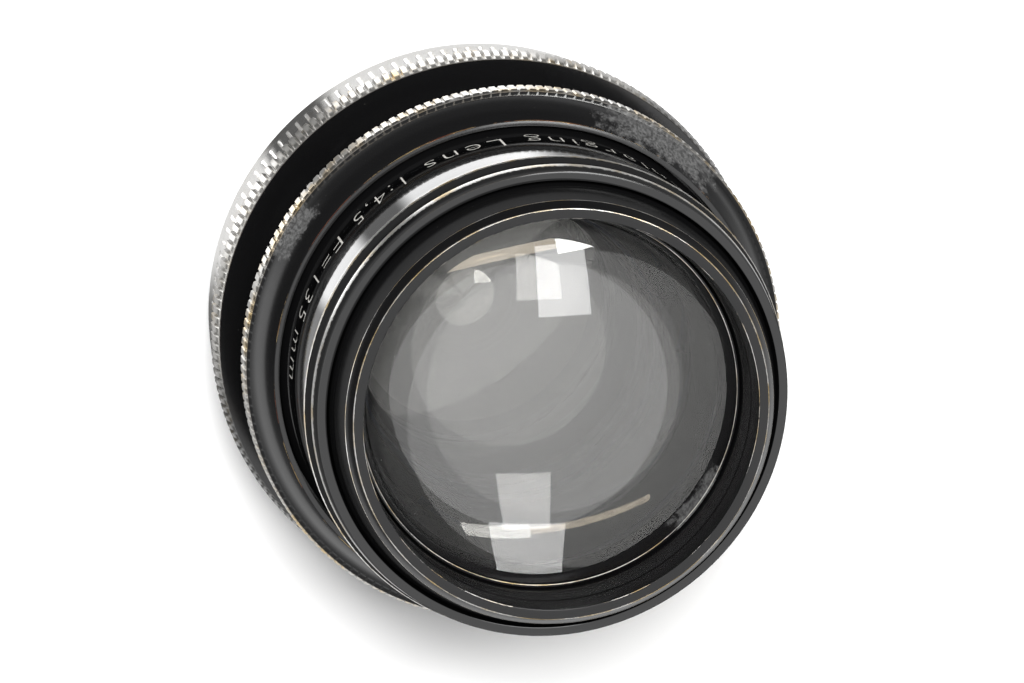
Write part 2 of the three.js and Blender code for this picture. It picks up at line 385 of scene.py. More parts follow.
def make_grain():
    """A fine surface grain with faint turning marks: a value for roughness and a bumped normal."""
    n, inp, out = new_group("Turned grain", [
        ("Place", "NodeSocketVector", None),
        ("Scale", "NodeSocketFloat", 3.0),
        ("Rings", "NodeSocketFloat", 0.3),
        ("Depth", "NodeSocketFloat", 0.1),
    ], [("Value", "NodeSocketFloat"), ("Normal", "NodeSocketVector")])
    place = inp.outputs["Place"]
    rings_per_mm = 9.0
    around = n.add("ShaderNodeCombineXYZ")
    n.link(n.math("MULTIPLY", radius_of(n, place), rings_per_mm), around.inputs[0])
    n.link(n.math("MULTIPLY", parts_of(n, place)[2], rings_per_mm), around.inputs[1])
    rings = n.noise(around.outputs[0], 1.0, 2.0)
    speckle = n.noise(place, inp.outputs["Scale"], 4.0, 0.6)
    value = n.blend(inp.outputs["Rings"], speckle, rings)
    bump = n.add("ShaderNodeBump")
    bump.inputs["Distance"].default_value = 0.00002
    n.link(inp.outputs["Depth"], bump.inputs["Strength"])
    n.link(value, bump.inputs["Height"])
    n.link(value, out.inputs["Value"])
    n.link(bump.outputs[0], out.inputs["Normal"])


def new_material(name):
    """A material with its node helper, Principled shader and the object's place in millimetres."""
    material = bpy.data.materials.new(name)
    material.use_nodes = True
    n = Nodes(material.node_tree)
    shader = material.node_tree.nodes["Principled BSDF"]
    return material, n, shader, metres_to_mm(n, n.add("ShaderNodeTexCoord"))


BLACK = (0.003, 0.003, 0.0032, 1)
BRASS = (0.48, 0.36, 0.18, 1)
NICKEL = (0.66, 0.65, 0.63, 1)
WORN_NICKEL = (0.42, 0.41, 0.39, 1)
COPPER = (0.2, 0.075, 0.05, 1)
DUST = (0.25, 0.24, 0.22, 1)
SCUFFED = (0.1, 0.1, 0.1, 1)


def lacquer(name, roughness, edges=(), teeth=None, patches=(), warm=0.5, gloss=0.5, worn_and_highlight_turns=None):
    """Black lacquer on brass. edges are (radius, height, width, amount) of edges worn to the metal, teeth is
    (root radius, tip radius, low z, high z) of a milled rim whose crests are worn, patches are (azimuth,
    spread, inner, outer) of scuffed places, warm is how much brass shows beside the nickel, and the last
    argument gives two azimuths between which the crests show most metal: real wear, made heaviest on the side
    the light falls on as a painted highlight."""
    material, n, shader, place = new_material(name)
    grain = n.group("Turned grain", Place=place, Scale=2.2, Rings=0.3, Depth=0.035)
    worn = None
    for radius, height, width, amount in edges:
        edge = n.group("Edge wear", Place=place, Radius=radius, Height=height, Width=width, Amount=amount)
        worn = edge.outputs[0] if worn is None else n.math("MAXIMUM", worn, edge.outputs[0])
    tint = n.ramp(n.noise(place, 0.35, 3.0), warm - 0.16, warm + 0.12)
    metal = n.mix(tint, BRASS, NICKEL)
    if teeth:
        root, tip, low, high = teeth
        crest = n.ramp(radius_of(n, place), root, root + 0.3 * (tip - root))
        z = parts_of(n, place)[2]
        inside = n.math("MULTIPLY", n.ramp(z, low - 0.1, low + 0.1), n.ramp(z, high + 0.1, high - 0.1))
        crest = n.math("MULTIPLY", crest, inside)
        crest = n.math("MULTIPLY", crest, n.ramp(n.noise(place, 0.5, 3.0), 0.2, 0.42))
        # painted highlight over real wear: the crests turn to metal mostly over one range of azimuths, the
        # side where the light falls
        if worn_and_highlight_turns:
            turn = azimuth_of(n, place)
            first, last = worn_and_highlight_turns
            wear_and_highlight_window = n.math("MULTIPLY", n.ramp(turn, first - 20, first), n.ramp(turn, last + 20, last))
            crest = n.math("MULTIPLY", crest, n.blend(wear_and_highlight_window, 0.12, 1.0))
        worn = crest if worn is None else n.math("MAXIMUM", worn, crest)
        edge_metal = n.mix(n.ramp(n.noise(place, 0.22, 3.0), 0.4, 0.6), COPPER, BRASS)
        metal = n.mix(inside, edge_metal, n.mix(tint, BRASS, WORN_NICKEL))
    dust = n.group("Dust", Place=place, Scale=1.4, Size=0.05, Amount=0.25).outputs[0]
    dull = n.blend(grain.outputs[0], roughness * 0.7, roughness * 1.3)
    colour = n.mix(n.math("MULTIPLY", dust, 0.3), BLACK, DUST)
    for azimuth, spread, inner, outer in patches:
        scuff = n.group("Scuffed patch", Place=place, Turn=azimuth, Spread=spread, Inner=inner, Outer=outer)
        patch = scuff.outputs[0]
        speckle = n.blend(n.ramp(n.noise(place, 3.5, 5.0, 0.7), 0.35, 0.65), 0.15, 1.0)
        colour = n.mix(n.math("MULTIPLY", patch, speckle), colour, SCUFFED)
        dull = n.blend(patch, dull, 0.38)
    n.link(n.mix(worn, colour, metal), shader.inputs["Base Color"])
    n.link(worn, shader.inputs["Metallic"])
    shader.inputs["Specular IOR Level"].default_value = gloss
    n.link(n.blend(worn, dull, 0.3), shader.inputs["Roughness"])
    n.link(grain.outputs[1], shader.inputs["Normal"])
    return material


def matt_black(name, level=0.012, roughness=0.6):
    """Matt anti-reflection paint inside the barrel."""
    material, n, shader, place = new_material(name)
    grain = n.group("Turned grain", Place=place, Scale=5.0, Rings=0.5, Depth=0.08)
    light = (level * 1.8, level * 1.8, level * 1.9, 1)
    dark = (level * 0.6, level * 0.6, level * 0.65, 1)
    n.link(n.mix(grain.outputs[0], dark, light), shader.inputs["Base Color"])
    n.link(n.blend(grain.outputs[0], roughness * 0.85, roughness * 1.1), shader.inputs["Roughness"])
    n.link(grain.outputs[1], shader.inputs["Normal"])
    return material


def plated(name, colour, tint, roughness=0.22, stain=0.4):
    """Worn plating: bright metal with warm stains and fine grain."""
    material, n, shader, place = new_material(name)
    grain = n.group("Turned grain", Place=place, Scale=3.0, Rings=0.5, Depth=0.15)
    stains = n.ramp(n.noise(place, 0.3, 4.0, 0.6), 0.5, 0.72)
    dirt = n.ramp(n.noise(place, 1.7, 5.0, 0.7), 0.6, 0.8)
    base = n.mix(n.math("MULTIPLY", stains, stain), colour, tint)
    soiled = n.mix(n.math("MULTIPLY", dirt, 0.5), base, (0.12, 0.1, 0.08, 1))
    n.link(soiled, shader.inputs["Base Color"])
    shader.inputs["Metallic"].default_value = 1.0
    dull = n.math("MAXIMUM", dirt, grain.outputs[0])
    n.link(n.blend(dull, roughness * 0.7, roughness * 1.8), shader.inputs["Roughness"])
    n.link(grain.outputs[1], shader.inputs["Normal"])
    return material


def optical_glass(name, ior, tint, gloss=0.5):
    """Clear glass, faintly tinted, with a little dust and haze."""
    material, n, shader, place = new_material(name)
    shader.inputs["Transmission Weight"].default_value = 1.0
    shader.inputs["Specular IOR Level"].default_value = gloss
    shader.inputs["IOR"].default_value = ior
    dust = n.group("Dust", Place=place, Scale=1.1, Size=0.06, Amount=0.16).outputs[0]
    haze = n.ramp(n.noise(place, 0.12, 4.0), 0.45, 0.8)
    dusty = n.mix(n.math("MULTIPLY", dust, 0.55), tint, (0.35, 0.34, 0.32, 1))
    n.link(dusty, shader.inputs["Base Color"])
    dull = n.math("ADD", n.math("MULTIPLY", dust, 0.4), n.math("MULTIPLY", haze, 0.002))
    n.link(dull, shader.inputs["Roughness"])
    return material


def paint(name, colour):
    """White paint in the engraving, a little dirty."""
    material, n, shader, place = new_material(name)
    dirt = n.ramp(n.noise(place, 1.5, 4.0), 0.45, 0.75)
    n.link(n.mix(n.math("MULTIPLY", dirt, 0.6), colour, (0.25, 0.22, 0.18, 1)), shader.inputs["Base Color"])
    n.link(n.blend(dirt, 0.45, 0.7), shader.inputs["Roughness"])
    return material


def make_materials():
    """Builds the shared effects and every finish, by name."""
    make_edge_wear()
    make_dust()
    make_patch()
    make_grain()
    m = {}
    m["neck"] = lacquer("neck_lacquer", 0.08, [
        (LIP_R, 42.3, 0.09, 0.9),
        (21.28, 43.75, 0.3, 1.6),
        (21.0, FRONT_FACE_Z, 0.02, 0.1),
        (NECK_R, 32.4, 0.05, 0.4),
    ], warm=0.42)
    m["nose"] = lacquer("nose_lacquer", 0.2, [
        (19.05, NOSE_Z - 0.7, 0.03, 0.3),
        (18.45, NOSE_Z, 0.036, 0.6),
        (17.58, NOSE_Z, 0.022, 0.2),
    ], gloss=0.35)
    m["inner_ring"] = lacquer(
        "inner_ring_lacquer", 0.15, [(16.9, 43.5, 0.03, 0.3)], patches=[(105, 14, 16.2, 17.4)])
    m["skirt"] = lacquer(
        "skirt_lacquer", 0.17, [(22.6, 31.4, 0.05, 0.3)], (24.6, RING_R, RING_BOTTOM_Z, RING_TOP_Z),
        patches=[(-71, 8, 23.3, 25.0), (-162, 18, 22.4, 25.3)], warm=0.44)
    m["barrel"] = lacquer("barrel_lacquer", 0.16, [(22.9, 26.1, 0.05, 0.3), (THREAD_R, 1.4, 0.15, 0.7)])
    # the flange's teeth show metal mostly on one side: a painted highlight where the light falls, over real
    # crest wear
    m["flange"] = lacquer(
        "flange_lacquer", 0.16, [], (25.42, FLANGE_R, FLANGE_BOTTOM_Z, FLANGE_TOP_Z),
        warm=0.36, worn_and_highlight_turns=(-150, -42))
    m["nickel"] = plated("worn_nickel", NICKEL, (0.5, 0.45, 0.38, 1), 0.16, 0.3)
    m["steel"] = plated("screw_steel", (0.3, 0.3, 0.31, 1), (0.2, 0.15, 0.1, 1), 0.3)
    m["blade"] = plated("blued_blade_steel", (0.05, 0.055, 0.07, 1), (0.03, 0.03, 0.035, 1), 0.4)
    m["matt"] = matt_black("matt_black_paint")
    m["edge"] = matt_black("blackened_glass_edge", 0.004, 0.35)
    m["crown"] = optical_glass("crown_glass", 1.6, (0.985, 0.98, 0.965, 1), 1.0)
    m["flint"] = optical_glass("flint_glass", 1.57, (0.98, 0.98, 0.97, 1), 0.8)
    m["white"] = paint("engraving_white", (0.5, 0.49, 0.46, 1))
    return m


MATERIALS = make_materials()


# ---------------------------------------------------------------- sizes a user would change

class LensSizes(bpy.types.PropertyGroup):
    """The sizes of the fine surfaces."""

    ring_teeth: bpy.props.IntProperty(
        name="Control ring teeth", description="Milled teeth round the iris control ring", default=180,
        min=60)
    flange_teeth: bpy.props.IntProperty(
        name="Flange teeth", description="Milled teeth round the mounting flange", default=186, min=60)
    lock_teeth: bpy.props.IntProperty(
        name="Lock ring slots", description="Coarse slots round the lock ring", default=132, min=40)
    letter_height: bpy.props.FloatProperty(
        name="Letter height", description="Height of the engraved capitals", default=2.8 * MM, min=0.001,
        unit="LENGTH")
    scale_height: bpy.props.FloatProperty(
        name="Scale height", description="Height of the stop numbers on the skirt", default=1.35 * MM,
        min=0.0005, unit="LENGTH")
    edge_round: bpy.props.FloatProperty(
        name="Edge rounding", description="Rounding of the turned edges", default=0.08 * MM, min=0.0,
        unit="LENGTH")


class StageLook(bpy.types.PropertyGroup):
    """The floor, lights and camera."""

    floor_tone: bpy.props.FloatVectorProperty(
        name="Floor", description="Colour of the floor", subtype="COLOR", size=3, default=(0.9, 0.9, 0.9),
        min=0.0, max=1.0)
    camera_distance: bpy.props.FloatProperty(
        name="Camera distance", description="From the camera to the front shoulder", default=0.42, min=0.1,
        unit="LENGTH")
    tilt: bpy.props.FloatProperty(
        name="Tilt", description="Angle between the line of sight and the optical axis",
        default=math.radians(18.6), subtype="ANGLE")
    slide: bpy.props.FloatProperty(
        name="Slide", description="How far the lens stands to the right of the middle of the view",
        default=3.755 * MM, unit="LENGTH")
    lift: bpy.props.FloatProperty(
        name="Lift", description="How far the view is raised above the front shoulder", default=5.676 * MM,
        unit="LENGTH")
    focal_length: bpy.props.FloatProperty(
        name="Focal length", description="Focal length of the camera in millimetres", default=169.1, min=20)
    sky: bpy.props.FloatProperty(
        name="Sky", description="Strength of the soft light on the floor", default=0.27, min=0.0)
    key_power: bpy.props.FloatProperty(
        name="Key power", description="Power of the key light in watts", default=9.2, min=0.0)
    roll: bpy.props.FloatProperty(
        name="Roll", description="Turn of the camera about its line of sight", default=math.radians(140.35),
        subtype="ANGLE")


# ---------------------------------------------------------------- operators

class LENS_OT_front_barrel(bpy.types.Operator):
    """Turn the front barrel: shoulder, groove, lip and engraved neck"""

    bl_idname = "lens.front_barrel"
    bl_label = "Front barrel"

    def execute(self, context):
        bevel = context.scene.lens_sizes.edge_round / MM
        section = [
            (19.2, 29.1), (20.6, 29.1), (20.6, 32.2), (NECK_R - 0.25, 32.2), (NECK_R, 32.5), (NECK_R, 36.6),
            (NECK_R - 0.03, 38.2), (NECK_R - 0.12, 40.0), (NECK_R - 0.25, 41.85),
            (LIP_R - 0.07, 42.0), (LIP_R, 42.25), (LIP_R - 0.1, 42.45), (21.1, 42.7), (21.08, 43.3),
            (21.28, 43.6), (21.27, 43.9), (21.0, FRONT_FACE_Z), (20.2, FRONT_FACE_Z), (20.2, 42.6),
            (19.2, 42.6),
        ]
        barrel = spun(section, RING_SIDES, bevel)
        piece("front_barrel_turned", barrel, [MATERIALS["neck"]], "barrel", "front_barrel")
        return {"FINISHED"}


class LENS_OT_front_cell(bpy.types.Operator):
    """Turn the front cell with its nose, and the ring that holds the front glass"""

    bl_idname = "lens.front_cell"
    bl_label = "Front cell"

    def execute(self, context):
        bevel = context.scene.lens_sizes.edge_round / MM
        section = [
            (17.2, 30.2), (18.9, 30.2), (18.9, 42.9), (19.95, 42.9), (19.95, 45.3), (19.7, 45.8),
            (19.05, NOSE_Z - 0.7), (18.45, NOSE_Z), (17.55, NOSE_Z), (17.45, 46.6), (17.35, 46.5),
            (17.3, 39.2), (15.4, 39.2), (15.4, 37.5), (17.2, 37.5),
        ]
        cell = spun(section, RING_SIDES, bevel)
        piece("front_cell_turned", cell, [MATERIALS["nose"]], "barrel", "front_cell")
        section = [(16.25, 42.2), (17.12, 42.02), (17.12, 43.5), (16.9, 43.5), (16.75, 43.3)]
        ring = spun(section, RING_SIDES, SMALL_BEVEL)
        piece("front_retaining_ring_turned", ring, [MATERIALS["inner_ring"]], "barrel",
              "front_retaining_ring")
        section = [(14.2, 28.9), (17.0, 28.9), (17.0, 29.7), (15.6, 29.7), (14.2, 29.3)]
        rear = spun(section, BARREL_SIDES, SMALL_BEVEL)
        piece("second_retaining_ring_turned", rear, [MATERIALS["matt"]], "barrel", "second_retaining_ring")
        return {"FINISHED"}


class LENS_OT_glasses(bpy.types.Operator):
    """Grind the four glasses, each with a blackened edge"""

    bl_idname = "lens.glasses"
    bl_label = "Glasses"

    def execute(self, context):
        # piece, node, glass, back (radius, height), front (radius, height), edge radius
        glasses = [
            ("front_glass", "front_element", "crown", (-400, 39.3), (42, 45.3), 17.0),
            ("second_glass", "second_element", "flint", (36, 33.6), (-70, 35.6), 16.0),
            ("rear_pair_front_glass_ground", "rear_pair_front_glass", "flint",
             (34, 11.44), (-110, 13.2), 13.8),
            ("rear_pair_back_glass_ground", "rear_pair_back_glass", "crown",
             (-52, 4.2), (34, 11.4), 13.8),
        ]
        for name, node, kind, rear, front, edge_r in glasses:
            outline = glass_face(*rear, edge_r) + glass_face(*front, edge_r)[::-1]
            bm = spun_solid(outline)
            for face in bm.faces:
                if abs(face.normal.z) < 0.3:
                    face.material_index = 1
            piece(name, bm, [MATERIALS[kind], MATERIALS["edge"]], "barrel", node, 50)
        return {"FINISHED"}


class LENS_OT_control_ring(bpy.types.Operator):
    """Turn the iris control ring with its skirt, and mill its rim"""

    bl_idname = "lens.control_ring"
    bl_label = "Iris control ring"

    def execute(self, context):
        sizes = context.scene.lens_sizes
        section = [
            (22.1, RING_BOTTOM_Z), (24.3, RING_BOTTOM_Z), (24.6, RING_BOTTOM_Z + 0.02),
            (RING_R, RING_BOTTOM_Z + 0.25), (RING_R, RING_TOP_Z - 0.3), (24.62, RING_TOP_Z - 0.02),
            (24.3, RING_TOP_Z + 0.08), (24.25, RING_TOP_Z + 0.2), (22.6, 31.35), (22.5, 31.4), (22.1, 31.4),
        ]
        bm = spun(section, 4 * sizes.ring_teeth)
        cut_teeth(bm, sizes.ring_teeth, 24.72, RING_BOTTOM_Z + 0.01, RING_TOP_Z - 0.01, 0.6, 0.13)
        ring = piece("iris_control_ring_milled", bm, [MATERIALS["skirt"]], "iris_ring", "iris_control_ring")
        drill(ring, DRIVE_SCREW_TURN, DRIVE_SCREW_Z, 1.15, 23.3, 25.5)
        return {"FINISHED"}


class LENS_OT_main_barrel(bpy.types.Operator):
    """Turn the main barrel with its rear thread"""

    bl_idname = "lens.main_barrel"
    bl_label = "Main barrel"

    def execute(self, context):
        bevel = context.scene.lens_sizes.edge_round / MM
        section = [(17.2, 1.4), (THREAD_R - 0.6, 1.4)]
        pitch = 0.98
        crest_r = THREAD_R - 0.04
        for turn in range(7):
            foot = 1.7 + turn * pitch
            section += [(THREAD_R - 0.55, foot), (crest_r, foot + 0.42), (crest_r, foot + 0.54)]
        section += [
            (THREAD_R - 0.5, 8.9), (THREAD_R, 9.4), (THREAD_R, 16.6), (BARREL_R, 16.6), (BARREL_R, 24.4),
            (22.9, 24.6), (22.9, 26.1), (BARREL_R, 26.1), (BARREL_R, 30.6), (21.1, 31.9), (20.9, 31.9),
            (20.9, 28.9), (19.9, 28.9), (19.9, 21.1), (17.2, 21.1),
        ]
        barrel = spun(section, BARREL_SIDES, bevel * 0.4, 1)
        piece("main_barrel_turned", barrel, [MATERIALS["barrel"]], "barrel", "main_barrel")
        return {"FINISHED"}


class LENS_OT_flange(bpy.types.Operator):
    """Turn the mounting flange and mill its bevelled rim"""

    bl_idname = "lens.flange"
    bl_label = "Mounting flange"

    def execute(self, context):
        sizes = context.scene.lens_sizes
        low, high = FLANGE_BOTTOM_Z, FLANGE_TOP_Z
        section = [
            (19.8, low), (25.3, low), (25.6, low + 0.02), (FLANGE_R, low + 0.3), (FLANGE_R, high - 1.4),
            (25.75, high - 0.8), (25.55, high - 0.12), (25.43, high), (25.2, high), (22.2, high),
            (22.2, 16.3), (19.8, 16.3),
        ]
        bm = spun(section, 4 * sizes.flange_teeth)
        cut_teeth(bm, sizes.flange_teeth, 25.52, low + 0.01, high - 0.05, 0.54, 0.16)
        piece("mounting_flange_milled", bm, [MATERIALS["flange"]], "barrel", "mounting_flange")
        return {"FINISHED"}


class LENS_OT_lock_ring(bpy.types.Operator):
    """Turn the lock ring and cut its coarse slots"""

    bl_idname = "lens.lock_ring"
    bl_label = "Lock ring"

    def execute(self, context):
        sizes = context.scene.lens_sizes
        low, high = LOCK_BOTTOM_Z, LOCK_TOP_Z
        section = [
            (19.8, low + 1.2), (21.8, low + 1.2), (21.8, 11.9), (23.2, 11.9), (23.2, low),
            (LOCK_R - 0.35, low), (LOCK_R, low + 0.35), (LOCK_R, low + 1.9), (LOCK_R - 0.02, low + 2.1),
            (LOCK_R - 0.02, low + 2.4), (LOCK_R - 0.02, high - 0.3), (LOCK_R - 0.3, high), (24.2, high),
            (19.8, high),
        ]
        bm = spun(section, 4 * sizes.lock_teeth)
        cut_teeth(bm, sizes.lock_teeth, 24.78, low + 2.3, high - 0.05, 0.7, 0.06)
        piece("lock_ring_slotted", bm, [MATERIALS["nickel"]], "lock_ring", "lock_ring")
        return {"FINISHED"}


class LENS_OT_rear_cell(bpy.types.Operator):
    """Turn the rear cell and the ring that holds the rear pair"""

    bl_idname = "lens.rear_cell"
    bl_label = "Rear cell"

    def execute(self, context):
        bevel = context.scene.lens_sizes.edge_round / MM
        section = [
            (14.1, 0), (15.6, 0), (16.2, 0.6), (16.9, 0.6), (16.9, 20.4), (12.9, 20.4), (12.9, 14.7),
            (14.1, 14.7),
        ]
        cell = spun(section, BARREL_SIDES, bevel)
        piece("rear_cell_turned", cell, [MATERIALS["matt"]], "barrel", "rear_cell")
        ring = spun([(12.6, 4.4), (14.0, 4.4), (14.0, 5.9), (13.7, 5.9)], BARREL_SIDES, SMALL_BEVEL)
        piece("rear_retaining_ring_turned", ring, [MATERIALS["matt"]], "barrel", "rear_retaining_ring")
        return {"FINISHED"}


class LENS_OT_screws(bpy.types.Operator):
    """Finish the slotted heads of the drive screw and the plate screws"""

    bl_idname = "lens.screws"
    bl_label = "Screws"

    def execute(self, context):
        # node, body, azimuth, height, inner end, outer end, shank radius, head radius
        screws = [("drive_screw", "iris_ring", DRIVE_SCREW_TURN, DRIVE_SCREW_Z, 18.9, 24.35, 0.7, 1.05)]
        for i in range(3):
            node = f"iris_plate_screw_{i + 1}"
            screws.append((node, "barrel", 120 * i + 30, PLATE_SCREW_Z, 19.15, 21.95, 0.6, 0.95))
        for node, body, angle, height, start, end, radius, head in screws:
            bm = spun_solid([
                (0, start), (radius, start), (radius, end - 0.8), (head, end - 0.55), (head, end - 0.06),
                (head - 0.1, end), (0, end),
            ], SCREW_SIDES)
            self.slot_head(bm, end)
            bmesh.ops.transform(bm, matrix=radial(angle, height), verts=bm.verts)
            piece(node + "_slotted", bm, [MATERIALS["steel"]], body, node)
        return {"FINISHED"}

    def slot_head(self, bm, end):
        """Sinks a screwdriver slot into the flat end of a head."""
        half_width = 0.13
        depth = 0.3
        for side in (-1, 1):
            bmesh.ops.bisect_plane(
                bm, geom=bm.verts[:] + bm.edges[:] + bm.faces[:], dist=1e-6,
                plane_co=(half_width * side, 0, 0), plane_no=(1, 0, 0))
        strip = []
        for face in bm.faces:
            middle = face.calc_center_median()
            if abs(middle.x) < half_width and face.normal.z > 0.6 and middle.z > end - 0.1:
                strip.append(face)
        sunk = bmesh.ops.extrude_face_region(bm, geom=strip)["geom"]
        floor = [part for part in sunk if isinstance(part, bmesh.types.BMVert)]
        bmesh.ops.translate(bm, vec=(0, 0, -depth), verts=floor)
        bmesh.ops.delete(bm, geom=strip, context="FACES")
        bmesh.ops.recalc_face_normals(bm, faces=bm.faces)


class LENS_OT_iris(bpy.types.Operator):
    """Give the blades, the cam ring and the base plate their finishes"""

    bl_idname = "lens.iris"
    bl_label = "Iris"

    def execute(self, context):
        finishes = {f"iris_blade_{i + 1}": "blade" for i in range(12)}
        finishes.update({"iris_base_plate": "matt", "iris_cam_ring": "matt"})
        for node, finish in finishes.items():
            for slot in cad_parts[node].material_slots:
                slot.material = MATERIALS[finish]
        return {"FINISHED"}


class LENS_OT_engraving(bpy.types.Operator):
    """Wrap the generic white lettering round the neck"""

    bl_idname = "lens.engraving"
    bl_label = "Engraving"

    def execute(self, context):
        sizes = context.scene.lens_sizes
        height = sizes.letter_height / MM
        whole = bmesh.new()
        # word, azimuth of its middle, width
        for text, turn, width in [
            ("Enlarging Lens", -136.2, 25.0), ("1:4,5", -89.0, 5.7), ("F", -74.6, 1.15), ("=135", -63.1, 6.3),
            ("mm", -45.6, 4.3),
        ]:
            self.engrave(context, whole, text, turn, width, height, NECK_R, NECK_FOOT_Z)
        self.engrave(context, whole, "I", 90, 0.2, 1.6, NECK_R, NECK_FOOT_Z)
        piece("neck_lettering", whole, [MATERIALS["white"]], "barrel")
        scale = bmesh.new()
        height = sizes.scale_height / MM
        skirt_r = 23.79
        skirt_foot_z = 29.55
        skirt_lean = math.atan2(1.65, 2.55)
        for text, turn, width in [
            ("4,5", 90, 2.0), ("6,3", 67, 2.0), ("9", 49.4, 0.75), ("12,5", 38, 2.3), ("16", 31.3, 1.3),
        ]:
            self.engrave(context, scale, text, turn, width, height, skirt_r, skirt_foot_z, skirt_lean)
        piece("stop_scale", scale, [MATERIALS["white"]], "iris_ring")
        return {"FINISHED"}

    def engrave(self, context, whole, text, turn, width, height, radius, foot, lean=0.0):
        """Adds one word, wrapped round the axis at an azimuth; lean tips it back over a cone."""
        flat = self.flat_word(context, text, height)
        bm = bmesh.new()
        bm.from_mesh(flat)
        low = min(v.co.x for v in bm.verts)
        high = max(v.co.x for v in bm.verts)
        for v in bm.verts:
            v.co.x = (v.co.x - (low + high) / 2) * width / (high - low)
        strip = 0.35
        reach = int(width / (2 * strip)) + 1
        for i in range(-reach, reach + 1):
            bmesh.ops.bisect_plane(
                bm, geom=bm.verts[:] + bm.edges[:] + bm.faces[:], dist=JOIN,
                plane_co=(strip * i, 0, 0), plane_no=(1, 0, 0))
        for v in bm.verts:
            angle = math.radians(turn) + v.co.x / radius
            r = radius + PAINT_PROUD - v.co.y * math.sin(lean)
            v.co = Vector((r * math.cos(angle), r * math.sin(angle), foot + v.co.y * math.cos(lean)))
        bm.to_mesh(flat)
        bm.free()
        whole.from_mesh(flat)
        bpy.data.meshes.remove(flat)

    def flat_word(self, context, text, height):
        """A word as a flat mesh, its capitals of the given height."""
        capital_share = 0.7
        curve = bpy.data.curves.new("lettering", "FONT")
        curve.body = text
        curve.size = height / capital_share
        curve.space_character = 1.18
        curve.offset = -0.022 * curve.size
        curve.resolution_u = 3
        holder = place_object("lettering", curve)
        context.view_layer.update()
        flat = bpy.data.meshes.new_from_object(holder)
        bpy.data.objects.remove(holder)
        return flat


def area_light(name, place, target, size, power, colour=(1, 1, 1)):
    """An area light that looks at a target."""
    data = bpy.data.lights.new(name, "AREA")
    data.shape = "RECTANGLE"
    data.size, data.size_y = size
    data.energy = power
    data.color = colour
    light = place_object(name, data)
    light.location = place
    light.rotation_mode = "QUATERNION"
    light.rotation_quaternion = (Vector(target) - Vector(place)).to_track_quat("-Z", "Y")
    return light


